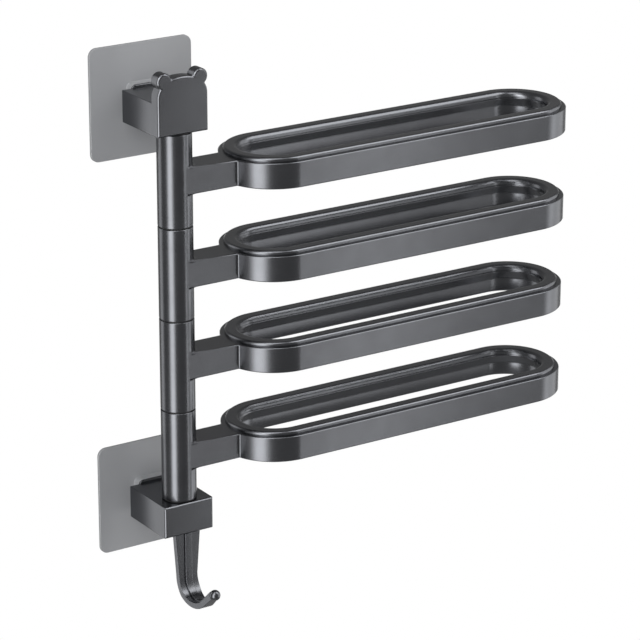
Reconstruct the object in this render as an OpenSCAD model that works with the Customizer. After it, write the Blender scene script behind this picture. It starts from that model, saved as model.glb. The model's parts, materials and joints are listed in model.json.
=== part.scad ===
// Wall-mounted towel rack with four ring arms that swing about one pole.
// +Z is up and the wall is the plane y = 0, with the rack on its -Y side.
// The origin is the centre of the upper plate's back face. All sizes are in millimetres.

/* [Adhesive plates] */
// Width and height of each square wall plate
plate_size = 60; // [50:1:80]
// Radius of the plate's corners
plate_corner_r = 4.5; // [2:0.5:8]
// Thickness of the plate without its pad
plate_t = 1; // [0.8:0.1:2]
// Thickness of the adhesive pad behind the plate
pad_t = 0.6; // [0.3:0.1:1]
// Width of the raised boss on the plate
boss_w = 18; // [16:0.5:20]
// Height of the raised boss on the plate
boss_h = 19.3; // [16:0.1:21]
// Radius of the boss's corners
boss_corner_r = 3; // [1:0.5:5]
// How far the boss stands out from the plate
boss_t = 4.6; // [3.5:0.1:8]

/* [Keepers and studs] */
// Thickness of the keeper plate on the boss
keeper_t = 1.1; // [1:0.1:3]
// Diameter of the stud where the bracket's slot rides on it
stud_d = 6; // [5.5:0.1:7]
// Diameter of the stud's head
stud_head_d = 9; // [8:0.1:10]
// Thickness of the stud's head
stud_head_t = 2; // [1.5:0.1:3]
// Diameter of the stud's threaded end
stud_thread_d = 4; // [3:0.1:5]
// Length of the stud's threaded end
stud_thread_len = 3.6; // [2.5:0.1:4]

/* [Brackets] */
// Width of both brackets
bracket_w = 29.5; // [26:0.5:40]
// Radius of the long edges of both brackets
bracket_edge_r = 0.6; // [0.2:0.1:2]
// Height of a bracket body's top above its plate's centre
body_rise = 8.1; // [7:0.1:8.6]
// Thickness of the wall that hooks behind the stud's head
slot_wall_t = 2.4; // [1.5:0.1:4]
// Height of the upper bracket's body
upper_body_h = 17.1; // [16:0.1:30]
// Distance from the pole's axis to the upper bracket's front
upper_front = 9.7; // [8:0.1:14]
// Height of the lower bracket's body
lower_body_h = 17.6; // [17:0.1:30]
// Distance from the pole's axis to the lower bracket's front
lower_front = 10.2; // [9.8:0.1:14]

/* [Eared front plate] */
// Thickness of the front plate of the upper bracket
head_t = 6.7; // [4:0.1:8]
// Height of the front plate at its middle
head_h = 30.3; // [26:0.1:40]
// Radius of the front plate's shoulders
head_corner_r = 8.7; // [5:0.1:12]
// Radius of the slightly domed top edge
crown_r = 28; // [24:1:60]
// Diameter of each round ear
ear_d = 8.7; // [5:0.1:9]
// Distance from the ear's centre in to the front plate's side
ear_inset = 4.3; // [2:0.1:5]
// Height of the ear's centre below the middle of the top edge
ear_drop = 1.7; // [0:0.1:3]

/* [Pole] */
// Distance from the wall to the pole's axis
wall_gap = 34; // [32:0.5:50]
// Distance from one arm to the next along the pole
arm_pitch = 50; // [30:1:80]
// Diameter of the sleeves that make up the pole
hub_d = 18.4; // [17:0.1:20]
// Wall of each sleeve
hub_wall = 2.7; // [1.5:0.1:3]
// Chamfer on both ends of each sleeve
hub_chamfer = 0.4; // [0.2:0.1:1]
// Diameter of the steel shaft inside the sleeves
shaft_d = 8; // [6:0.1:9]
// Depth of the shaft's seat in each bracket
shaft_seat = 10; // [6:0.5:10.5]
// Length of each bush at the ends of a sleeve
bush_len = 8; // [4:0.5:12]
// Thickness of the washers between the sleeves
washer_t = 0.5; // [0.3:0.1:2]
// How far the washers sit inside the sleeves' faces
seam_depth = 0.6; // [0.2:0.1:1.5]

/* [Arms] */
// Height of the neck between sleeve and ring
neck_h = 13.9; // [8:0.1:16]
// How far the neck's sides lie inside the sleeve's faces
neck_inset = 0.2; // [0.1:0.1:2]
// Radius of the neck's long edges
neck_edge_r = 0.6; // [0.2:0.1:2]
// How far the neck sits below the middle of its sleeve
neck_drop = 0.45; // [0:0.05:3]
// Overall width of the ring
ring_w = 57; // [48:1:62]
// Distance from the pole's axis to the centre of the ring's near end
ring_near = 59; // [50:1:80]
// Length of the ring's straight bars
ring_straight = 154.4; // [60:1:300]
// Height of the ring's outer wall, up to its ledge
ring_wall_h = 13.9; // [12:0.1:20]
// Width of the ledge around the ring
ring_ledge = 2.5; // [1:0.1:4]
// Height of the raised rim above the ledge
bead_h = 2.2; // [1.6:0.1:4]
// Width of the ring's bar at its rounded inner lip
rim_w = 10.9; // [10:0.1:14]
// Width of the ring's bar right under the lip
waist_w = 9.2; // [9:0.1:9.8]
// Width of the ring's bar at its foot
foot_w = 8; // [6:0.1:9]
// How far the lip's round runs back over the rim
lip_round_w = 3; // [1:0.1:4]
// Height of the lip's round
lip_round_h = 4; // [1:0.1:5]
// Height above the foot at which the lip's underside meets the bar
lip_foot = 8.6; // [6:0.1:9]
// Radius of the rim's outer edge
bead_r = 1.1; // [0.4:0.1:1.5]
// Bevel of the ring's other edges
ring_bevel = 0.4; // [0.2:0.1:0.9]

/* [Hook] */
// Width of the hook where it leaves the bracket
hook_top_w = 15; // [12:0.1:18]
// Width of the hook where its bend starts
hook_bend_w = 11.4; // [8:0.1:14]
// Width of the hook at its tip
hook_tip_w = 4.6; // [4:0.1:4.6]
// Thickness of the hook's strip
hook_t = 3.2; // [2.5:0.1:3.3]
// Width of the rib down the hook's front
rib_w = 4; // [2:0.1:6]
// How far the rib stands out from the strip
rib_t = 1; // [0.5:0.1:3]
// Distance from the bracket's underside to the start of the bend
hook_drop = 24.2; // [10:0.1:50]
// Radius of the bend at the middle of the strip
hook_bend_r = 12.4; // [8:0.1:20]
// Angle at which the lip rises from level
hook_rise = 43.5; // [10:0.5:80]
// Length of the straight lip
hook_lip = 10.6; // [4:0.1:20]
// Diameter of the ball at the tip
ball_d = 5.8; // [5:0.1:9]
// Distance from the ball's centre back to the end of the rib
rib_stop = 2.3; // [1:0.1:2.4]
// Distance from the lower bracket's front back to the middle of the strip
hook_setback = 3.6; // [3.4:0.1:3.7]
// Width of the hook's tongue inside the bracket
tongue_w = 10; // [6:0.5:14]
// Height of the hook's tongue inside the bracket
tongue_h = 7; // [4:0.5:14]

/* [Shaft screw] */
// Diameter of the screw's thread
screw_d = 5; // [4:0.1:5.5]
// Length of the screw under its head
screw_len = 12; // [9:0.5:14]
// Diameter of the screw's head
screw_head_d = 8.5; // [7:0.1:8.6]
// Thickness of the screw's head
screw_head_t = 3; // [2:0.1:3.3]
// Width across the corners of the screw's hexagon socket
screw_key_d = 4; // [2:0.1:5]
// Depth of the screw's hexagon socket
screw_key_t = 1.6; // [1:0.1:2]
// Depth of the recess for the screw's head
recess_t = 3.4; // [3.1:0.1:5]

/* [Fits] */
// Clearance all round between the shaft and the bushes that turn on it
run_clear = 0.05; // [0.02:0.01:0.1]
// Clearance all round in seats, slots and threads that hold still
seat_clear = 0.05; // [0.02:0.01:0.2]
// Gap between a sleeve's end and its washer
end_clear = 0.05; // [0.02:0.01:0.1]
// Clearance beside and behind the stud in the bracket's slot
slot_clear = 0.1; // [0.05:0.05:0.4]

/* [Hidden] */
$fn = 64;

gunmetal = [0.28, 0.29, 0.3];
plate_grey = [0.58, 0.59, 0.6];
bright_steel = [0.72, 0.73, 0.75];
black_nylon = [0.06, 0.06, 0.06];
foam_white = [0.85, 0.86, 0.86];

// How far a cut runs past the face that it opens
cut = 1;
// Share of the ring's foot that the neck reaches into
neck_bite_share = 0.6;

arm_count = 4;
plate_face = pad_t + plate_t;
boss_face = plate_face + boss_t;
bracket_back = boss_face + keeper_t;
upper_reach = wall_gap + upper_front;
lower_reach = wall_gap + lower_front;

upper_bottom = body_rise - upper_body_h;
stack_h = arm_count * arm_pitch + washer_t;
lower_top = upper_bottom - stack_h;
lower_bottom = lower_top - lower_body_h;
lower_plate_z = lower_top - body_rise;

hub_len = arm_pitch - washer_t - 2 * end_clear;
hub_bore_d = hub_d - 2 * hub_wall;
neck_w = hub_d - 2 * neck_inset;
ring_half_w = ring_w / 2;
ring_h = ring_wall_h + bead_h;

shaft_bottom = lower_top - shaft_seat;
shaft_top = upper_bottom + shaft_seat;
screw_web = lower_body_h - shaft_seat - recess_t;
hook_y = lower_reach - hook_setback;

// Height of the middle of one sleeve, counted from the top
function hub_mid(i) = upper_bottom - washer_t / 2 - (i - 1 / 2) * arm_pitch;

// Height of one washer's top face, counted from the top
function washer_top(i) = upper_bottom - (i - 1) * arm_pitch;

module rounded_rect(w, h, r) {
    square([w - 2 * r, h], center = true);
    square([w, h - 2 * r], center = true);
    for (x = [-1, 1])
        for (y = [-1, 1])
            translate([x * (w / 2 - r), y * (h / 2 - r)]) circle(r);
}

// Stands a flat outline up in the wall's plane, from one distance off the wall to another
module off_wall(from, to) {
    translate([0, -from, 0])
        rotate([90, 0, 0])
            linear_extrude(to - from) children();
}

module adhesive_pad(z) {
    color(foam_white)
        translate([0, 0, z])
            off_wall(0, pad_t) rounded_rect(plate_size, plate_size, plate_corner_r);
}

// Plate and boss are one moulding, with a blind hole for the stud's thread
module wall_plate(z) {
    color(plate_grey)
        translate([0, 0, z])
            difference() {
                union() {
                    off_wall(pad_t, plate_face) rounded_rect(plate_size, plate_size, plate_corner_r);
                    off_wall(plate_face, boss_face) rounded_rect(boss_w, boss_h, boss_corner_r);
                }
                off_wall(boss_face - stud_thread_len - end_clear, boss_face + cut)
                    circle(stud_thread_d / 2 + seat_clear);
            }
}

module keeper(z) {
    color(gunmetal)
        translate([0, 0, z])
            off_wall(boss_face, bracket_back)
                difference() {
                    rounded_rect(boss_w, boss_h, boss_corner_r);
                    circle(stud_d / 2 + seat_clear);
                }
}

// Thread in the boss, collar through keeper and bracket wall, head behind the wall
module stud(z) {
    head_back = bracket_back + slot_wall_t + slot_clear;
    color(bright_steel)
        translate([0, 0, z])
            union() {
                off_wall(boss_face - stud_thread_len, boss_face) circle(stud_thread_d / 2);
                off_wall(boss_face, head_back) circle(stud_d / 2);
                off_wall(head_back, head_back + stud_head_t) circle(stud_head_d / 2);
            }
}

// Slot of one width, open at the bottom and round at the stud
module slot_outline(r, depth) {
    circle(r);
    translate([-r, -depth]) square([2 * r, depth]);
}

// Stepped slot by which a bracket is lowered on to its stud
module stud_slot(z, body_bottom) {
    depth = z - body_bottom + cut;
    wall_front = bracket_back + slot_wall_t;
    translate([0, 0, z]) {
        off_wall(bracket_back - cut, wall_front) slot_outline(stud_d / 2 + slot_clear, depth);
        off_wall(wall_front, wall_front + stud_head_t + 2 * slot_clear)
            slot_outline(stud_head_d / 2 + slot_clear, depth);
    }
}

// Box of a bracket, from the keeper to a distance off the wall
module bracket_body(bottom, height, reach) {
    translate([0, 0, bottom + height / 2])
        off_wall(bracket_back, reach) rounded_rect(bracket_w, height, bracket_edge_r);
}

// Outline of the eared front plate, with its foot on the X axis
module head_outline() {
    shoulder_z = head_h - head_corner_r - ear_drop;
    ear_x = bracket_w / 2 - ear_inset;
    translate([-bracket_w / 2, 0]) square([bracket_w, shoulder_z]);
    for (side = [-1, 1]) {
        translate([side * (bracket_w / 2 - head_corner_r), shoulder_z]) circle(head_corner_r);
        translate([side * ear_x, head_h - ear_drop]) circle(ear_d / 2);
    }
    intersection() {
        translate([0, head_h - crown_r]) circle(crown_r);
        translate([-ear_x, 0]) square([2 * ear_x, head_h]);
    }
}

module upper_bracket() {
    color(gunmetal)
        difference() {
            union() {
                bracket_body(upper_bottom, upper_body_h, upper_reach - head_t);
                translate([0, 0, upper_bottom])
                    off_wall(upper_reach - head_t, upper_reach) head_outline();
            }
            stud_slot(0, upper_bottom);
            translate([0, -wall_gap, upper_bottom - cut])
                cylinder(h = shaft_seat + end_clear + cut, r = shaft_d / 2 + seat_clear);
        }
}

module lower_bracket() {
    color(gunmetal)
        difference() {
            bracket_body(lower_bottom, lower_body_h, lower_reach);
            stud_slot(lower_plate_z, lower_bottom);
            translate([0, -wall_gap, shaft_bottom])
                cylinder(h = shaft_seat + cut, r = shaft_d / 2 + seat_clear);
            translate([0, -wall_gap, lower_bottom])
                cylinder(h = lower_body_h, r = screw_d / 2 + seat_clear);
            translate([0, -wall_gap, lower_bottom - cut])
                cylinder(h = recess_t + cut, r = screw_head_d / 2 + seat_clear);
            translate([0, -hook_y, lower_bottom + (tongue_h + end_clear - cut) / 2])
                cube([
                    tongue_w + 2 * seat_clear,
                    hook_t + 2 * seat_clear,
                    tongue_h + end_clear + cut
                ], center = true);
        }
}

module pole_shaft() {
    tap_depth = screw_len - screw_web + end_clear;
    color(bright_steel)
        difference() {
            translate([0, -wall_gap, shaft_bottom])
                cylinder(h = shaft_top - shaft_bottom, r = shaft_d / 2);
            translate([0, -wall_gap, shaft_bottom - cut])
                cylinder(h = tap_depth + cut, r = screw_d / 2 + seat_clear);
        }
}

module shaft_screw() {
    head_top = lower_bottom + recess_t;
    color(bright_steel)
        translate([0, -wall_gap, head_top])
            difference() {
                union() {
                    cylinder(h = screw_len, r = screw_d / 2);
                    translate([0, 0, -screw_head_t])
                        cylinder(h = screw_head_t, r = screw_head_d / 2);
                }
                translate([0, 0, -screw_head_t - cut])
                    cylinder(h = screw_key_t + cut, r = screw_key_d / 2, $fn = 6);
            }
}

module thrust_washer(i) {
    color(black_nylon)
        translate([0, -wall_gap, washer_top(i) - washer_t])
            difference() {
                cylinder(h = washer_t, r = hub_d / 2 - seam_depth);
                translate([0, 0, -cut])
                    cylinder(h = washer_t + 2 * cut, r = shaft_d / 2 + seat_clear);
            }
}

// Section of the ring's bar: distance from the ring's middle line, then height
function ring_section() = let (
    outer = ring_half_w,
    inner = ring_half_w - rim_w,
    riser = outer - ring_ledge
) [
    for (turn = [90:-30:0])
        [outer - foot_w - (waist_w - foot_w) * sin(turn), lip_foot * turn / 90],
    [outer - ring_bevel, 0],
    [outer, ring_bevel],
    [outer, ring_wall_h - ring_bevel],
    [outer - ring_bevel, ring_wall_h],
    [riser, ring_wall_h],
    for (turn = [0:45:90])
        [riser - bead_r * (1 - cos(turn)), ring_h - bead_r * (1 - sin(turn))],
    for (turn = [0:30:90])
        [inner + lip_round_w * (1 - sin(turn)), ring_h - lip_round_h * (1 - cos(turn))]
];

module ring() {
    for (end = [0, 1])
        translate([ring_near + end * ring_straight, 0, 0])
            rotate([0, 0, 90 - 180 * end])
                rotate_extrude(angle = 180) polygon(ring_section());
    for (side = [0, 1])
        mirror([0, side, 0])
            translate([ring_near, 0, 0])
                rotate([90, 0, 90])
                    linear_extrude(ring_straight) polygon(ring_section());
}

// Chamfered sleeve, still solid, centred on its own middle
module hub_blank() {
    translate([0, 0, -hub_len / 2])
        rotate_extrude()
            polygon([
                [0, 0],
                [hub_d / 2 - hub_chamfer, 0],
                [hub_d / 2, hub_chamfer],
                [hub_d / 2, hub_len - hub_chamfer],
                [hub_d / 2 - hub_chamfer, hub_len],
                [0, hub_len]
            ]);
}

// Sleeve, neck and ring in one casting, with the sleeve bored for its bushes
module arm(i) {
    neck_end = ring_near - ring_half_w + foot_w * neck_bite_share;
    color(gunmetal)
        translate([0, -wall_gap, hub_mid(i)])
            difference() {
                union() {
                    hub_blank();
                    translate([0, 0, -neck_drop])
                        rotate([90, 0, 90])
                            linear_extrude(neck_end) rounded_rect(neck_w, neck_h, neck_edge_r);
                    translate([0, 0, -neck_drop - neck_h / 2]) ring();
                }
                cylinder(h = hub_len + 2 * cut, r = hub_bore_d / 2, center = true);
            }
}

module bushes(i) {
    color(black_nylon)
        for (end = [-1, 1])
            translate([0, -wall_gap, hub_mid(i) + end * (hub_len - bush_len) / 2])
                difference() {
                    cylinder(h = bush_len, r = hub_bore_d / 2 - seat_clear, center = true);
                    cylinder(h = bush_len + 2 * cut, r = shaft_d / 2 + run_clear, center = true);
                }
}

// Side view of the hook's bend and lip, from one depth to another across the strip.
// X is the distance out from the strip's middle and Y is the height above the bend's start.
module bend_side(back, front, lip) {
    bend = 90 + hook_rise;
    far = 2 * (hook_bend_r + hook_t);
    translate([hook_bend_r, 0]) {
        difference() {
            circle(hook_bend_r - back);
            circle(hook_bend_r - front);
            translate([-far, 0]) square([2 * far, far]);
            rotate(bend) translate([-far, -far]) square([2 * far, far]);
        }
        rotate(bend)
            translate([back - hook_bend_r, -lip]) square([front - back, lip]);
    }
}

// Extrudes a side view along X, centred on the plane x = 0
module along_x(w) {
    rotate([90, 0, -90])
        translate([0, 0, -w / 2])
            linear_extrude(w) children();
}

// Flat shank that widens upwards
module hook_shank() {
    translate([0, hook_t / 2, 0])
        rotate([90, 0, 0])
            linear_extrude(hook_t)
                polygon([
                    [-hook_bend_w / 2, 0],
                    [hook_bend_w / 2, 0],
                    [hook_top_w / 2, hook_drop],
                    [-hook_top_w / 2, hook_drop]
                ]);
}

// Bend and lip, narrowed towards the tip as seen from above
module hook_bend(tip_out) {
    reach = tip_out + hook_t;
    low = hook_bend_r + hook_t;
    intersection() {
        along_x(hook_bend_w) bend_side(-hook_t / 2, hook_t / 2, hook_lip);
        translate([0, 0, -low])
            linear_extrude(low + hook_lip)
                polygon([
                    [-hook_top_w / 2, hook_t],
                    [-hook_top_w / 2, -hook_t],
                    [-hook_bend_w / 2, -hook_t],
                    [-hook_tip_w / 2, -tip_out],
                    [-hook_tip_w / 2, -reach],
                    [hook_tip_w / 2, -reach],
                    [hook_tip_w / 2, -tip_out],
                    [hook_bend_w / 2, -hook_t],
                    [hook_top_w / 2, -hook_t],
                    [hook_top_w / 2, hook_t]
                ]);
    }
}

module hook() {
    tip_out = hook_bend_r * (1 + sin(hook_rise)) + hook_lip * cos(hook_rise);
    tip_up = hook_lip * sin(hook_rise) - hook_bend_r * cos(hook_rise);
    rib_front = hook_t / 2 + rib_t;
    color(gunmetal)
        translate([0, -hook_y, lower_bottom - hook_drop]) {
            hook_shank();
            hook_bend(tip_out);
            along_x(rib_w) {
                square([rib_front, hook_drop]);
                bend_side(0, rib_front, hook_lip - rib_stop);
            }
            translate([0, -tip_out, tip_up])
                rotate([90 - hook_rise, 0, 0]) sphere(ball_d / 2);
            translate([0, 0, hook_drop + tongue_h / 2])
                cube([tongue_w, hook_t, tongue_h], center = true);
        }
}

adhesive_pad(0);  // upper_adhesive_pad
adhesive_pad(lower_plate_z);  // lower_adhesive_pad
wall_plate(0);  // upper_wall_plate
wall_plate(lower_plate_z);  // lower_wall_plate
keeper(0);  // upper_keeper
keeper(lower_plate_z);  // lower_keeper
stud(0);  // upper_stud
stud(lower_plate_z);  // lower_stud
upper_bracket();
lower_bracket();
pole_shaft();
shaft_screw();
thrust_washer(1);  // thrust_washer_1
thrust_washer(2);  // thrust_washer_2
thrust_washer(3);  // thrust_washer_3
thrust_washer(4);  // thrust_washer_4
thrust_washer(5);  // thrust_washer_5
arm(1);  // arm_1
arm(2);  // arm_2
arm(3);  // arm_3
arm(4);  // arm_4
bushes(1);  // arm_1_bushes
bushes(2);  // arm_2_bushes
bushes(3);  // arm_3_bushes
bushes(4);  // arm_4_bushes
hook();
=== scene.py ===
import json
import math

import bmesh
import bpy
from mathutils import Matrix, Vector

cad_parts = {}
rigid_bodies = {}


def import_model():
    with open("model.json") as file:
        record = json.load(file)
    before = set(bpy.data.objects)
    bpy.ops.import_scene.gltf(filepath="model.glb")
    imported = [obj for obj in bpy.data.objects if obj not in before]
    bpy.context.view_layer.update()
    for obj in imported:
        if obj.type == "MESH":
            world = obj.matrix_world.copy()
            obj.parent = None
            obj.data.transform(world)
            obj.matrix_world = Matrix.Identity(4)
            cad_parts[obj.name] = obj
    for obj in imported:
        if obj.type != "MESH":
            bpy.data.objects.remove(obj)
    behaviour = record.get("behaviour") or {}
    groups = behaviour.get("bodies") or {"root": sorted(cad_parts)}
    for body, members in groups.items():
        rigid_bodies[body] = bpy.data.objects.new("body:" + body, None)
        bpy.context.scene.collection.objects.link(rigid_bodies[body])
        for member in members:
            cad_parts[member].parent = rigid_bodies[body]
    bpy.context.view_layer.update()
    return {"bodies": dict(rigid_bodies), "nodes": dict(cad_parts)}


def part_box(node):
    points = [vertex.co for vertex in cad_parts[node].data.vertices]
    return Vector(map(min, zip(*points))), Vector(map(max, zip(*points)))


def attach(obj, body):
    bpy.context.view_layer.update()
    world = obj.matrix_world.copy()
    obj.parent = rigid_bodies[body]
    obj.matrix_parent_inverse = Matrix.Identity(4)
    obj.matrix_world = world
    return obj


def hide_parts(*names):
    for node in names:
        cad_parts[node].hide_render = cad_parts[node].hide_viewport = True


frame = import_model()
nodes = frame["nodes"]


# Wall plates. Each is a light grey ABS moulding, a thin square plate with a raised square boss, and
# it sticks to the tiles by a foam pad of its own outline. Soft rounded edges come from the mould.
plate_t = 0.001
plate_corner_r = 0.0045
plate_edge_r = 0.0003
boss_corner_r = 0.003
corner_steps = 8
edge_steps = 3
corner_angle = math.radians(50)
crease_angle = math.radians(40)
flat_within = math.radians(0.5)
weld_within = 0.00002
aligned = 0.99
facing = 0.9
large_face_weight = 60
noise_low = 0.3
noise_high = 0.7


def add_box(low, high):
    """Adds a box between two corners."""
    low, high = Vector(low), Vector(high)
    bpy.ops.object.select_all(action="DESELECT")
    bpy.ops.mesh.primitive_cube_add(size=1, location=(low + high) / 2, scale=high - low)
    bpy.ops.object.transform_apply(location=True, rotation=True, scale=True)
    return bpy.context.object


def edit(piece):
    """Opens a piece in edit mode with nothing selected."""
    bpy.ops.object.select_all(action="DESELECT")
    piece.select_set(True)
    bpy.context.view_layer.objects.active = piece
    bpy.ops.object.mode_set(mode="EDIT")
    bpy.ops.mesh.select_all(action="DESELECT")


def pick(kind, wanted):
    """Selects the corners, edges or faces whose middle and direction are wanted."""
    bpy.ops.mesh.select_mode(type=kind)
    bpy.ops.mesh.select_all(action="DESELECT")
    mesh = bmesh.from_edit_mesh(bpy.context.object.data)
    if kind == "VERT":
        for v in mesh.verts:
            v.select_set(bool(wanted(v.co, v.normal)))
    elif kind == "EDGE":
        for e in mesh.edges:
            a, b = (v.co for v in e.verts)
            e.select_set(bool(wanted((a + b) / 2, (b - a).normalized())))
    else:
        for f in mesh.faces:
            f.select_set(bool(wanted(f.calc_center_median(), f.normal)))
    mesh.select_flush_mode()
    bmesh.update_edit_mesh(bpy.context.object.data)


def merge_flat(piece):
    """Welds doubled corners of a piece and joins its faces that lie in one plane. It stays in edit mode."""
    edit(piece)
    bpy.ops.mesh.select_all(action="SELECT")
    bpy.ops.mesh.remove_doubles(threshold=weld_within)
    bpy.ops.mesh.dissolve_limited(angle_limit=flat_within)


def close_edit():
    """Goes back to object mode."""
    bpy.ops.object.mode_set(mode="OBJECT")


def apply_last(piece):
    """Applies the modifier that was added last."""
    bpy.ops.object.modifier_apply(modifier=piece.modifiers[-1].name)


def combine(piece, other, operation):
    """Welds a second shape to a piece or cuts it out of the piece, and removes the second shape."""
    bpy.ops.object.select_all(action="DESELECT")
    piece.select_set(True)
    bpy.context.view_layer.objects.active = piece
    bpy.ops.object.modifier_add(type="BOOLEAN")
    step = piece.modifiers[-1]
    step.operation = operation
    step.object = other
    step.solver = "EXACT"
    apply_last(piece)
    bpy.data.objects.remove(other)


def round_edges(piece, radius, sharper_than):
    """Rounds the edges at which the surface turns by more than an angle."""
    merge_flat(piece)
    close_edit()
    bpy.ops.object.modifier_add(type="BEVEL")
    bevel = piece.modifiers[-1]
    bevel.width = radius
    bevel.segments = edge_steps
    bevel.limit_method = "ANGLE"
    bevel.angle_limit = sharper_than
    bevel.use_clamp_overlap = False
    apply_last(piece)


def shade(piece, sharper_than):
    """Shades a piece smooth, but for the sharper edges, and keeps its flat faces flat."""
    bpy.ops.object.select_all(action="DESELECT")
    piece.select_set(True)
    bpy.context.view_layer.objects.active = piece
    bpy.ops.object.shade_smooth_by_angle(angle=sharper_than)
    bpy.ops.object.modifier_add(type="WEIGHTED_NORMAL")
    piece.modifiers[-1].keep_sharp = True
    piece.modifiers[-1].weight = large_face_weight
    apply_last(piece)


def round_corners(piece, radius):
    """Rounds the four corners of a box as seen from the front, at its edges along Y."""
    edit(piece)
    pick("EDGE", lambda middle, along: abs(along.y) > aligned)
    bpy.ops.mesh.bevel(offset=radius, segments=corner_steps, affect="EDGES")
    close_edit()


def dress(piece, name, body, material, replaced):
    """Names a finished piece, gives it its finish and hangs it on its body in place of a CAD node."""
    piece.name = name
    piece.data.name = name
    piece.data.materials.clear()
    piece.data.materials.append(material)
    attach(piece, body)
    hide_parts(replaced)


def finish_solid(name, material):
    """Gives a CAD node that stays in view its finish."""
    nodes[name].data.materials.clear()
    nodes[name].data.materials.append(material)


def new_material(name):
    """Adds a material and returns it with its node tree."""
    material = bpy.data.materials.new(name)
    material.use_nodes = True
    return material, material.node_tree


def grain(tree, size, detail, shape=(1, 1, 1)):
    """Noise in the piece's own space, with lumps of about one size in metres."""
    place = tree.nodes.new("ShaderNodeTexCoord")
    turn = tree.nodes.new("ShaderNodeMapping")
    noise = tree.nodes.new("ShaderNodeTexNoise")
    turn.inputs["Scale"].default_value = shape
    noise.inputs["Scale"].default_value = 1 / size
    noise.inputs["Detail"].default_value = detail
    tree.links.new(place.outputs["Object"], turn.inputs["Vector"])
    tree.links.new(turn.outputs["Vector"], noise.inputs["Vector"])
    return noise.outputs["Fac"]


def spread(tree, factor, low, high):
    """Turns noise into a value that wanders between two limits."""
    ramp = tree.nodes.new("ShaderNodeMapRange")
    ramp.inputs["From Min"].default_value = noise_low
    ramp.inputs["From Max"].default_value = noise_high
    ramp.inputs["To Min"].default_value = low
    ramp.inputs["To Max"].default_value = high
    tree.links.new(factor, ramp.inputs["Value"])
    return ramp.outputs["Result"]


def tint(tree, factor, dark, light):
    """Turns noise into a colour that wanders between two shades."""
    ramp = tree.nodes.new("ShaderNodeValToRGB")
    ramp.color_ramp.elements[0].position = noise_low
    ramp.color_ramp.elements[0].color = (*dark, 1)
    ramp.color_ramp.elements[1].position = noise_high
    ramp.color_ramp.elements[1].color = (*light, 1)
    tree.links.new(factor, ramp.inputs["Fac"])
    return ramp.outputs["Color"]


def emboss(tree, shader, factor, depth, strength):
    """Raises noise as a bump of one depth in metres."""
    bump = tree.nodes.new("ShaderNodeBump")
    bump.inputs["Distance"].default_value = depth
    bump.inputs["Strength"].default_value = strength
    tree.links.new(factor, bump.inputs["Height"])
    tree.links.new(bump.outputs["Normal"], shader.inputs["Normal"])


def grey_moulding():
    """Light grey ABS, satin, with faint flow marks and a fine grain."""
    material, tree = new_material("light grey moulding")
    shader = tree.nodes["Principled BSDF"]
    shader.inputs["IOR"].default_value = 1.46
    flow = grain(tree, size=0.03, detail=3)
    spark = grain(tree, size=0.0004, detail=2)
    shades = tint(tree, flow, dark=(0.275, 0.28, 0.291), light=(0.292, 0.297, 0.309))
    tree.links.new(shades, shader.inputs["Base Color"])
    tree.links.new(spread(tree, flow, low=0.3, high=0.36), shader.inputs["Roughness"])
    emboss(tree, shader, spark, depth=0.00002, strength=0.25)
    return material


def foam_tape():
    """Grey foam with open cells, matt."""
    material, tree = new_material("foam tape")
    shader = tree.nodes["Principled BSDF"]
    shader.inputs["IOR"].default_value = 1.4
    cells = grain(tree, size=0.0006, detail=4)
    shades = tint(tree, cells, dark=(0.2, 0.205, 0.21), light=(0.28, 0.285, 0.29))
    tree.links.new(shades, shader.inputs["Base Color"])
    tree.links.new(spread(tree, cells, low=0.7, high=0.9), shader.inputs["Roughness"])
    emboss(tree, shader, cells, depth=0.0001, strength=0.6)
    return material


plate_finish = grey_moulding()
tape_finish = foam_tape()
for end in ("upper", "lower"):
    low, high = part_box(f"{end}_wall_plate")
    boss_low, boss_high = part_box(f"{end}_keeper")
    plate_front = high.y - plate_t
    moulding = add_box((low.x, plate_front, low.z), (high.x, high.y, high.z))
    round_corners(moulding, plate_corner_r)
    boss = add_box((boss_low.x, low.y, boss_low.z), (boss_high.x, plate_front + plate_t / 2, boss_high.z))
    round_corners(boss, boss_corner_r)
    combine(moulding, boss, "UNION")
    round_edges(moulding, plate_edge_r, corner_angle)
    shade(moulding, crease_angle)
    plate_name = f"{end}_plate_moulding"
    dress(moulding, plate_name, "wall_frame", plate_finish, f"{end}_wall_plate")
    finish_solid(f"{end}_adhesive_pad", tape_finish)


# Keepers and studs. A dark keeper plate lies on each boss and a headed steel stud is screwed through it,
# on which the bracket's slot rides. The keeper's rounded top shows above the bracket.
keeper_corner_r = 0.003
keeper_edge_r = 0.0009
stud_r = 0.003
stud_clear = 0.00005
round_sides = 48


def add_rod(start, end, radius, sides):
    """Adds a round rod from one point to another, along Y or Z."""
    start, end = Vector(start), Vector(end)
    along = end - start
    turn = (math.pi / 2, 0, 0) if abs(along.y) > abs(along.z) else (0, 0, 0)
    bpy.ops.object.select_all(action="DESELECT")
    bpy.ops.mesh.primitive_cylinder_add(
        vertices=sides, radius=radius, depth=along.length, location=(start + end) / 2, rotation=turn
    )
    bpy.ops.object.transform_apply(location=True, rotation=True, scale=True)
    return bpy.context.object


def gunmetal():
    """Dark grey anodised aluminium, satin."""
    material, tree = new_material("gunmetal anodising")
    shader = tree.nodes["Principled BSDF"]
    shader.inputs["Metallic"].default_value = 1
    cast = grain(tree, size=0.012, detail=3)
    satin = grain(tree, size=0.0006, detail=3)
    shades = tint(tree, cast, dark=(0.128, 0.131, 0.14), light=(0.142, 0.146, 0.156))
    tree.links.new(shades, shader.inputs["Base Color"])
    tree.links.new(spread(tree, satin, low=0.25, high=0.27), shader.inputs["Roughness"])
    emboss(tree, shader, satin, depth=0.00001, strength=0.02)
    return material


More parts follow.
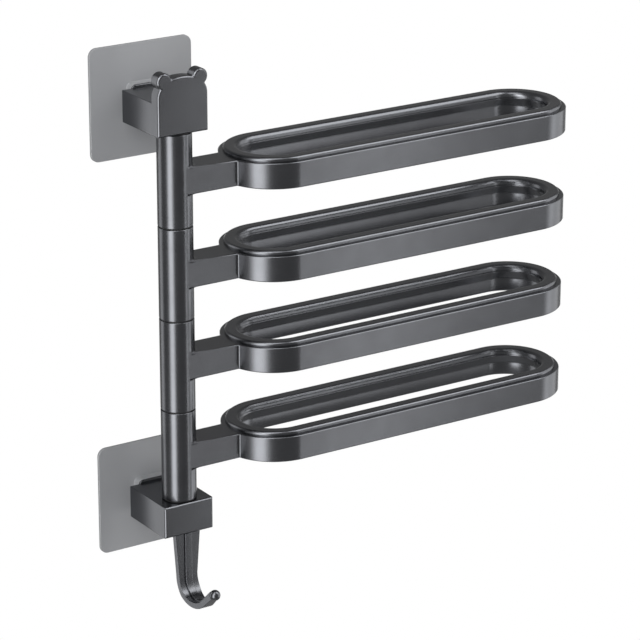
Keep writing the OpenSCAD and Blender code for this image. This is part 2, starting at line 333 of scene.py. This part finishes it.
def turned_steel():
    """Bright steel with the fine rings that a lathe leaves round it."""
    material, tree = new_material("turned steel")
    shader = tree.nodes["Principled BSDF"]
    shader.inputs["Metallic"].default_value = 1
    marks = grain(tree, size=0.0005, detail=2, shape=(0.15, 0.15, 1))
    shades = tint(tree, marks, dark=(0.5, 0.51, 0.52), light=(0.6, 0.61, 0.62))
    tree.links.new(shades, shader.inputs["Base Color"])
    tree.links.new(spread(tree, marks, low=0.22, high=0.36), shader.inputs["Roughness"])
    emboss(tree, shader, marks, depth=0.00001, strength=0.3)
    return material


metal = gunmetal()
steel = turned_steel()
for end in ("upper", "lower"):
    low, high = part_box(f"{end}_keeper")
    keeper = add_box(low, high)
    round_corners(keeper, keeper_corner_r)
    round_edges(keeper, keeper_edge_r, corner_angle)
    middle = (low + high) / 2
    hole_start = (0, low.y - stud_r, middle.z)
    hole_end = (0, high.y + stud_r, middle.z)
    combine(keeper, add_rod(hole_start, hole_end, stud_r + stud_clear, round_sides), "DIFFERENCE")
    shade(keeper, crease_angle)
    dress(keeper, f"{end}_keeper_plate", "wall_frame", metal, f"{end}_keeper")
    finish_solid(f"{end}_stud", steel)


# Brackets. Both are die-cast boxes in the gunmetal finish, each with a stepped slot in its back that
# drops over the stud's head, and a blind seat for the pole's shaft. The upper one carries a taller
# front plate with sloping shoulders, two round ears and a slightly domed top.
bracket_half_w = 0.01475
front_edge_w = 0.0011
front_edge_fullness = 0.32
bracket_edge_r = 0.0004
bracket_corner_angle = math.radians(40)
body_rise = 0.0081
head_t = 0.0067
shoulder_r = 0.0087
shoulder_steps = 14
crown_r = 0.028
crown_sides = 240
ear_r = 0.00435
ear_inset = 0.0043
ear_rise = 0.0196
ear_drop = 0.0017
slot_wall_t = 0.0024
slot_clear = 0.0001
stud_head_r = 0.0045
stud_head_t = 0.002
shaft_seat_r = 0.00405
shaft_seat_depth = 0.01005
past = 0.001
near = 0.0001


def soften_front(bracket, front_y):
    """Gives the edges round a bracket's front a wide and rather flat rounding."""
    merge_flat(bracket)
    pick("EDGE", lambda middle, along: middle.y < front_y + near)
    bpy.ops.mesh.bevel(
        offset=front_edge_w,
        segments=edge_steps,
        profile=front_edge_fullness,
        affect="EDGES",
        clamp_overlap=False,
    )
    close_edit()


def cut_stud_slot(bracket, back_y, stud_z, bottom_z):
    """Cuts the narrow slot for the stud's neck, and behind it the wide one for its head."""
    wall_y = back_y - slot_wall_t
    head_y = wall_y - stud_head_t - 2 * slot_clear
    for radius, near_y, far_y in ((stud_r, back_y + past, wall_y), (stud_head_r, wall_y, head_y)):
        reach = radius + slot_clear
        rest_place = add_rod((0, near_y, stud_z), (0, far_y, stud_z), reach, round_sides)
        combine(bracket, rest_place, "DIFFERENCE")
        way_in = add_box((-reach, far_y, bottom_z - past), (reach, near_y, stud_z))
        combine(bracket, way_in, "DIFFERENCE")


low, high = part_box("upper_bracket")
pole_y = (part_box("pole_shaft")[0].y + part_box("pole_shaft")[1].y) / 2
crown_z = ear_rise + ear_drop
head_back = low.y + head_t
upper = add_box((-bracket_half_w, low.y - past / 2, low.z), (bracket_half_w, head_back + past / 2, ear_rise))
edit(upper)
pick("EDGE", lambda middle, along: abs(along.y) > aligned and middle.z > low.z + shoulder_r)
bpy.ops.mesh.bevel(offset=shoulder_r, segments=shoulder_steps, affect="EDGES")
close_edit()
crown_half_w = bracket_half_w - ear_inset
dome_start = (0, low.y - past, crown_z - crown_r)
dome_end = (0, head_back + past, crown_z - crown_r)
dome = add_rod(dome_start, dome_end, crown_r, crown_sides)
dome_low = (-crown_half_w, low.y - 2 * past, 0)
dome_high = (crown_half_w, head_back + 2 * past, crown_z + past)
combine(dome, add_box(dome_low, dome_high), "INTERSECT")
combine(upper, dome, "UNION")
for ear_x, ear_past in ((-crown_half_w, 2 * past), (crown_half_w, 3 * past)):
    ear_start = (ear_x, low.y - ear_past, ear_rise)
    ear_end = (ear_x, head_back + ear_past, ear_rise)
    combine(upper, add_rod(ear_start, ear_end, ear_r, round_sides), "UNION")
edit(upper)
for trim_y, side in ((low.y, -1), (head_back, 1)):
    bpy.ops.mesh.select_all(action="SELECT")
    bpy.ops.mesh.bisect(plane_co=(0, trim_y, 0), plane_no=(0, side, 0), clear_outer=True, use_fill=True)
close_edit()
upper_box = add_box((-bracket_half_w, head_back - head_t / 2, low.z), (bracket_half_w, high.y, body_rise))
combine(upper, upper_box, "UNION")
soften_front(upper, low.y)
round_edges(upper, bracket_edge_r, bracket_corner_angle)
cut_stud_slot(upper, high.y, 0, low.z)
seat_start = (0, pole_y, low.z - past)
seat_end = (0, pole_y, low.z + shaft_seat_depth)
combine(upper, add_rod(seat_start, seat_end, shaft_seat_r, round_sides), "DIFFERENCE")
shade(upper, crease_angle)
dress(upper, "upper_bracket_casting", "wall_frame", metal, "upper_bracket")

screw_hole_r = 0.00255
screw_recess_r = 0.0043
screw_recess_t = 0.0034
tongue_half_w = 0.00505
tongue_depth = 0.00705
strip_t = 0.0032
low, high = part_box("lower_bracket")
lower_stud_z = (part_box("lower_stud")[0].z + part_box("lower_stud")[1].z) / 2
hook_low, hook_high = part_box("hook")
strip_y = hook_high.y - strip_t / 2
lower = add_box((-bracket_half_w, low.y, low.z), (bracket_half_w, high.y, high.z))
soften_front(lower, low.y)
round_edges(lower, bracket_edge_r, bracket_corner_angle)
cut_stud_slot(lower, high.y, lower_stud_z, low.z)
for radius, from_z, to_z in (
    (shaft_seat_r, high.z - shaft_seat_depth, high.z + past),
    (screw_hole_r, low.z - past, high.z),
    (screw_recess_r, low.z - past, low.z + screw_recess_t),
):
    combine(lower, add_rod((0, pole_y, from_z), (0, pole_y, to_z), radius, round_sides), "DIFFERENCE")
pocket = add_box(
    (-tongue_half_w, strip_y - strip_t / 2 - stud_clear, low.z - past),
    (tongue_half_w, strip_y + strip_t / 2 + stud_clear, low.z + tongue_depth),
)
combine(lower, pocket, "DIFFERENCE")
shade(lower, crease_angle)
dress(lower, "lower_bracket_casting", "wall_frame", metal, "lower_bracket")


# Shaft and its screw. A turned steel rod runs through all the sleeves, with its ends in the brackets,
# and a socket screw from below draws it down into the lower one.
for name in ("pole_shaft", "shaft_screw"):
    finish_solid(name, steel)


# Washers and bushes. Black nylon rings between the sleeves show as the dark seams of the pole, and a
# bush in each end of a sleeve turns on the shaft.
def black_nylon():
    """Black nylon, half matt."""
    material, tree = new_material("black nylon")
    shader = tree.nodes["Principled BSDF"]
    shader.inputs["IOR"].default_value = 1.5
    flow = grain(tree, size=0.002, detail=3)
    shades = tint(tree, flow, dark=(0.008, 0.008, 0.009), light=(0.014, 0.014, 0.015))
    tree.links.new(shades, shader.inputs["Base Color"])
    tree.links.new(spread(tree, flow, low=0.45, high=0.6), shader.inputs["Roughness"])
    emboss(tree, shader, flow, depth=0.00002, strength=0.3)
    return material


nylon = black_nylon()
for name in sorted(nodes):
    if name.startswith("thrust_washer") or name.endswith("_bushes"):
        finish_solid(name, nylon)


# Arms. Each is one aluminium casting: a sleeve on the pole, a short flat-sided neck, and a long oval
# ring. The ring has a ledge around it and a raised rim with a rounded lip on its inside. Under the lip
# its bar is narrower, and it narrows on down to its foot.
sleeve_bore_r = 0.0065
bore_sides = 60
sleeve_sides = 120
neck_turn = math.radians(12)
neck_bite = 0.6
ring_half_w = 0.0285
ring_near = 0.059
ring_straight = 0.1544
ring_drop = 0.0074
ring_wall_h = 0.0139
ring_rise = 0.0161
ring_ledge = 0.0025
ring_sides = 96
rim_w = 0.0109
waist_w = 0.0092
foot_w = 0.008
lip_round_w = 0.003
lip_round_h = 0.004
lip_foot = 0.0086
lip_steps = 6
arm_edge_w = 0.00065
arm_edge_fullness = 0.35
sleeve_edge_w = 0.0004
fillet_w = 0.0012
arm_crease_angle = math.radians(35)

arm_names = sorted(name for name in frame["bodies"] if name.startswith("arm_"))
low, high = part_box(arm_names[0])
sleeve_r = -low.x
sleeve_middle = (low.z + high.z) / 2
ring_bottom = sleeve_middle - ring_drop
ring_top = ring_bottom + ring_rise
ledge_z = ring_bottom + ring_wall_h
half_step = math.pi / ring_sides


def off_middle(place):
    """How far a point lies from the line down the middle of the ring."""
    end_x = min(max(place.x, ring_near), ring_near + ring_straight)
    return math.hypot(place.x - end_x, place.y - pole_y)


def at_seam(place):
    """Whether a point lies on the sleeve's outside, where the neck meets it."""
    return abs(math.hypot(place.x, place.y - pole_y) - sleeve_r) < near and place.x > 0


def at_riser(place):
    """Whether a point lies over the rim's outer wall, where it stands on the ledge."""
    return abs(off_middle(place) - ring_half_w + ring_ledge) < 2 * near


def inset_rounded(inset_w, drops):
    """Insets the selected face in steps along a quarter round, and moves it by a drop at each step."""
    reached = [math.sin(math.pi / 2 * step / lip_steps) for step in range(lip_steps + 1)]
    for step, drop in enumerate(drops):
        bpy.ops.mesh.inset(thickness=inset_w * (reached[step + 1] - reached[step]), depth=-drop)


bpy.ops.object.select_all(action="DESELECT")
bpy.ops.mesh.primitive_cylinder_add(
    vertices=ring_sides,
    radius=ring_half_w / math.cos(half_step),
    depth=ring_wall_h,
    location=(ring_near, pole_y, ring_bottom + ring_wall_h / 2),
    rotation=(0, 0, half_step),
)
bpy.ops.object.transform_apply(location=True, rotation=True, scale=True)
arm = bpy.context.object
edit(arm)
pick("VERT", lambda place, out: place.x > ring_near)
bpy.ops.transform.translate(value=(ring_straight, 0, 0))
pick("FACE", lambda middle, out: out.z > facing)
bpy.ops.mesh.inset(thickness=ring_ledge)
bpy.ops.mesh.extrude_region_move(TRANSFORM_OT_translate={"value": (0, 0, ring_rise - ring_wall_h)})
bpy.ops.mesh.inset(thickness=rim_w - ring_ledge - lip_round_w)
lip_heights = [lip_round_h * math.cos(math.pi / 2 * step / lip_steps) for step in range(lip_steps + 1)]
inset_rounded(lip_round_w, [above - below for above, below in zip(lip_heights, lip_heights[1:])])
bpy.ops.mesh.delete(type="FACE")
pick("FACE", lambda middle, out: out.z < -facing)
bpy.ops.mesh.inset(thickness=foot_w)
inset_rounded(waist_w - foot_w, [lip_foot / lip_steps] * lip_steps)
bpy.ops.mesh.delete(type="FACE")
bpy.ops.mesh.select_mode(type="EDGE")
bpy.ops.mesh.select_non_manifold()
bpy.ops.mesh.bridge_edge_loops()
bpy.ops.mesh.select_all(action="SELECT")
bpy.ops.mesh.normals_make_consistent(inside=False)
close_edit()
neck_half_w = sleeve_r * math.cos(neck_turn)
neck_end = ring_near - ring_half_w + foot_w * neck_bite
neck = add_box((0, pole_y - neck_half_w, ring_bottom), (neck_end, pole_y + neck_half_w, ledge_z))
combine(arm, neck, "UNION")
sleeve = add_rod((0, pole_y, low.z), (0, pole_y, high.z), sleeve_r, sleeve_sides)
combine(arm, sleeve, "UNION")
merge_flat(arm)
bpy.ops.mesh.select_all(action="DESELECT")
bpy.ops.mesh.edges_select_sharp(sharpness=crease_angle)
bpy.ops.transform.edge_bevelweight(value=arm_edge_w / fillet_w)
pick("EDGE", lambda middle, along: abs(middle.z - sleeve_middle) > (high.z - low.z) / 2 - near)
bpy.ops.transform.edge_bevelweight(value=(sleeve_edge_w - arm_edge_w) / fillet_w)
pick("EDGE", lambda middle, along: at_seam(middle) and abs(middle.z - ledge_z) < near)
bpy.ops.transform.edge_bevelweight(value=1)
pick("EDGE", lambda middle, along: at_riser(middle) and abs(middle.z - ring_top) < near)
bpy.ops.transform.edge_bevelweight(value=1)
pick("EDGE", lambda middle, along: at_riser(middle) and abs(middle.z - ledge_z) < near)
bpy.ops.transform.edge_bevelweight(value=-1)
close_edit()
bpy.ops.object.modifier_add(type="BEVEL")
arm.modifiers[-1].limit_method = "WEIGHT"
arm.modifiers[-1].width = fillet_w
arm.modifiers[-1].segments = edge_steps
arm.modifiers[-1].profile = arm_edge_fullness
arm.modifiers[-1].use_clamp_overlap = False
apply_last(arm)
bore = add_rod((0, pole_y, low.z - past), (0, pole_y, high.z + past), sleeve_bore_r, bore_sides)
combine(arm, bore, "DIFFERENCE")
shade(arm, arm_crease_angle)
for name in arm_names:
    bpy.ops.object.select_all(action="DESELECT")
    arm.select_set(True)
    bpy.context.view_layer.objects.active = arm
    if name != arm_names[-1]:
        bpy.ops.object.duplicate()
    placed = bpy.context.object
    bpy.ops.transform.translate(value=(0, 0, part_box(name)[0].z - low.z))
    bpy.ops.object.transform_apply(location=True, rotation=True, scale=True)
    dress(placed, f"swing_{name}", name, metal, name)


# Hook. A tapering strip with a rib down its front, bent round and up at the bottom, ends in a ball. It
# is one casting, and its tongue is held in a pocket of the lower bracket.
strip_top_w = 0.015
strip_bend_w = 0.0114
strip_tip_w = 0.0046
rib_half_w = 0.002
rib_t = 0.001
bend_r = 0.0124
bend_steps = 24
lip_rise = math.radians(43.5)
lip_len = 0.0106
ball_r = 0.0029
hook_edge_r = 0.00028
hook_corner_angle = math.radians(50)
rib_clear = rib_half_w + near
station_decimals = 5

strip_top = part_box("lower_bracket")[0].z
bend_z = hook_low.z + bend_r + strip_t / 2
bend_y = strip_y - bend_r
hook = add_box(
    (-strip_top_w / 2, strip_y - strip_t / 2, bend_z), (strip_top_w / 2, strip_y + strip_t / 2, strip_top)
)
edit(hook)
for x in (-rib_half_w, rib_half_w):
    bpy.ops.mesh.select_all(action="SELECT")
    bpy.ops.mesh.bisect(plane_co=(x, 0, 0), plane_no=(1, 0, 0))
pick("FACE", lambda middle, out: out.y < -facing and abs(middle.x) < rib_half_w)
bpy.ops.mesh.extrude_region_move(TRANSFORM_OT_translate={"value": (0, -rib_t, 0)})
pick("FACE", lambda middle, out: out.z < -facing)
bpy.ops.mesh.spin(steps=bend_steps, angle=math.pi / 2 + lip_rise, center=(0, bend_y, bend_z), axis=(1, 0, 0))
lip_way = Vector((0, -math.cos(lip_rise), math.sin(lip_rise))) * lip_len
bpy.ops.mesh.extrude_region_move(TRANSFORM_OT_translate={"value": lip_way})
tip_y = bend_y - bend_r * math.sin(lip_rise) - lip_len * math.cos(lip_rise)
tip_z = bend_z - bend_r * math.cos(lip_rise) + lip_len * math.sin(lip_rise)


def strip_width(place):
    """Width of the strip at a place: it narrows down the shank and, seen from above, out to the tip."""
    if place.z > bend_z + near and place.y > strip_y - strip_t:
        share = (place.z - bend_z) / (strip_top - bend_z)
        return strip_bend_w + share * (strip_top_w - strip_bend_w)
    share = min(max((strip_y - strip_t - place.y) / (strip_y - strip_t - tip_y), 0), 1)
    return strip_bend_w + share * (strip_tip_w - strip_bend_w)


mesh = bmesh.from_edit_mesh(hook.data)
outer_verts = [v.co for v in mesh.verts if v.co.x > rib_clear]
for y, z in sorted({(round(co.y, station_decimals), round(co.z, station_decimals)) for co in outer_verts}):
    at = Vector((0, y, z))
    pick("VERT", lambda place, out: abs(place.x) > rib_clear and (place.yz - at.yz).length < weld_within)
    bpy.ops.transform.resize(value=(strip_width(at) / strip_top_w, 1, 1), center_override=(0, y, z))
bpy.ops.mesh.select_all(action="SELECT")
bpy.ops.mesh.normals_make_consistent(inside=False)
bpy.ops.mesh.select_mode(type="EDGE")
bpy.ops.mesh.select_all(action="DESELECT")
mesh = bmesh.from_edit_mesh(hook.data)
for edge in mesh.edges:
    edge.select_set(edge.is_convex and edge.calc_face_angle() > hook_corner_angle)
mesh.select_flush_mode()
bmesh.update_edit_mesh(hook.data)
bpy.ops.mesh.bevel(offset=hook_edge_r, segments=edge_steps, affect="EDGES", clamp_overlap=False)
close_edit()
bpy.ops.object.select_all(action="DESELECT")
bpy.ops.mesh.primitive_uv_sphere_add(
    segments=round_sides, ring_count=round_sides // 2, radius=ball_r, location=(0, tip_y, tip_z)
)
bpy.ops.object.transform_apply(location=True, rotation=True, scale=True)
combine(hook, bpy.context.object, "UNION")
tongue = add_box(
    (-tongue_half_w + stud_clear, strip_y - strip_t / 2, strip_top - past),
    (tongue_half_w - stud_clear, strip_y + strip_t / 2, hook_high.z),
)
combine(hook, tongue, "UNION")
shade(hook, crease_angle)
dress(hook, "towel_hook", "wall_frame", metal, "hook")


# Studio. The rack hangs above a pale floor in a dim room with a brightly lit white wall far behind it. Tall
# softboxes stand left of the camera, far left and to the right, a narrow strip stands in front, and three
# softboxes hang overhead.
rack_middle = Vector((0.09, -0.035, -0.12))
floor_z = -2.4
floor_size = 4
floor_colour = (0.6, 0.6, 0.6, 1)
floor_roughness = 0.9
room_light = 0.22
white_way = Vector((0.5149, 0.7898, -0.3333))
white_core = math.radians(12)
white_fade = math.radians(27)
stand_away = 1.8
stand_h = 2.6
hung_away = 1.6


def white_behind(tree):
    """How bright the room is: white straight behind the rack, for the camera and mirrors, and dim around."""
    place = tree.nodes.new("ShaderNodeTexCoord")
    towards = tree.nodes.new("ShaderNodeVectorMath")
    towards.operation = "DOT_PRODUCT"
    towards.inputs[1].default_value = white_way
    fade = tree.nodes.new("ShaderNodeMapRange")
    fade.interpolation_type = "SMOOTHSTEP"
    fade.inputs["From Min"].default_value = math.cos(white_fade)
    fade.inputs["From Max"].default_value = math.cos(white_core)
    fade.inputs["To Min"].default_value = room_light
    fade.inputs["To Max"].default_value = 1
    rays = tree.nodes.new("ShaderNodeLightPath")
    first = tree.nodes.new("ShaderNodeMath")
    second = tree.nodes.new("ShaderNodeMath")
    second.use_clamp = True
    mix = tree.nodes.new("ShaderNodeMix")
    mix.inputs["A"].default_value = room_light
    tree.links.new(place.outputs["Generated"], towards.inputs[0])
    tree.links.new(towards.outputs["Value"], fade.inputs["Value"])
    tree.links.new(rays.outputs["Is Camera Ray"], first.inputs[0])
    tree.links.new(rays.outputs["Is Glossy Ray"], first.inputs[1])
    tree.links.new(first.outputs["Value"], second.inputs[0])
    tree.links.new(rays.outputs["Is Transmission Ray"], second.inputs[1])
    tree.links.new(second.outputs["Value"], mix.inputs["Factor"])
    tree.links.new(fade.outputs["Result"], mix.inputs["B"])
    return mix.outputs["Result"]


world = bpy.data.worlds.new("dim room")
bpy.context.scene.world = world
world.use_nodes = True
sky = world.node_tree.nodes["Background"]
sky.inputs["Color"].default_value = (1, 1, 1, 1)
world.node_tree.links.new(white_behind(world.node_tree), sky.inputs["Strength"])

bpy.ops.object.select_all(action="DESELECT")
bpy.ops.mesh.primitive_plane_add(size=floor_size, location=(0, 0, floor_z))
bpy.ops.object.transform_apply(location=True, rotation=True, scale=True)
floor = bpy.context.object
floor.name = "studio_floor"
floor_finish, floor_tree = new_material("pale floor")
floor_shader = floor_tree.nodes["Principled BSDF"]
floor_shader.inputs["Base Color"].default_value = floor_colour
floor_shader.inputs["Roughness"].default_value = floor_roughness
floor.data.materials.append(floor_finish)


def add_softbox(name, azimuth, width, brightness, elevation=0, away=stand_away, height=stand_h):
    """Adds a soft lamp that faces the rack. Azimuth 0 lies along +X, and 90 along +Y."""
    turn, lift = math.radians(azimuth), math.radians(elevation)
    way = Vector((math.cos(turn) * math.cos(lift), math.sin(turn) * math.cos(lift), math.sin(lift)))
    bpy.ops.object.light_add(type="AREA", location=rack_middle + way * away)
    lamp = bpy.context.object
    lamp.name = name
    lamp.rotation_euler = way.to_track_quat("Z", "Y").to_euler()
    lamp.data.shape = "RECTANGLE"
    lamp.data.size = width
    lamp.data.size_y = height
    lamp.data.energy = brightness * math.pi * width * height
    lamp.visible_camera = False


# Where a narrow softbox stands in a wide dim one, the metal shows a bright band with a soft border.
add_softbox("key_softbox", azimuth=-152.5, width=0.75, brightness=3.8)
add_softbox("key_edge", azimuth=-152.5, width=1.2, brightness=1.5)
add_softbox("left_strip", azimuth=131, width=0.9, brightness=1.15)
add_softbox("right_strip", azimuth=-27, width=0.45, brightness=0.8)
add_softbox("right_edge", azimuth=-20, width=2.4, brightness=0.35)
add_softbox("right_softbox", azimuth=-10, width=1.4, brightness=0.8)
add_softbox("front_strip", azimuth=-57.5, width=0.09, brightness=2.3, away=0.75, height=1.1)
for name, azimuth, elevation, width, brightness in (
    ("overhead_softbox", -33, 52, 0.9, 3.4),
    ("top_softbox", -123, 70, 0.7, 2.6),
    ("left_top_softbox", -142, 42, 0.6, 6),
):
    add_softbox(name, azimuth, width, brightness, elevation=elevation, away=hung_away, height=width)


# Camera. It looks down on the rack from its front left at the photograph's angle, through a long lens.
shot_from = (-0.7724, -1.3544, 0.4295)
shot_azimuth = math.radians(33.0982)
shot_elevation = math.radians(19.4715)
shot_roll = math.radians(0.0692)
frame_px = 640
focal_px = 3137.57
sensor_mm = 36

bpy.ops.object.camera_add(location=shot_from)
camera = bpy.context.object
camera.rotation_mode = "QUATERNION"
turned = Matrix.Rotation(-shot_azimuth, 3, "Z") @ Matrix.Rotation(math.pi / 2 - shot_elevation, 3, "X")
camera.rotation_quaternion = (turned @ Matrix.Rotation(shot_roll, 3, "Z")).to_quaternion()
camera.data.sensor_width = sensor_mm
camera.data.lens = focal_px / frame_px * sensor_mm
bpy.context.scene.camera = camera
bpy.context.scene.view_settings.view_transform = "Standard"
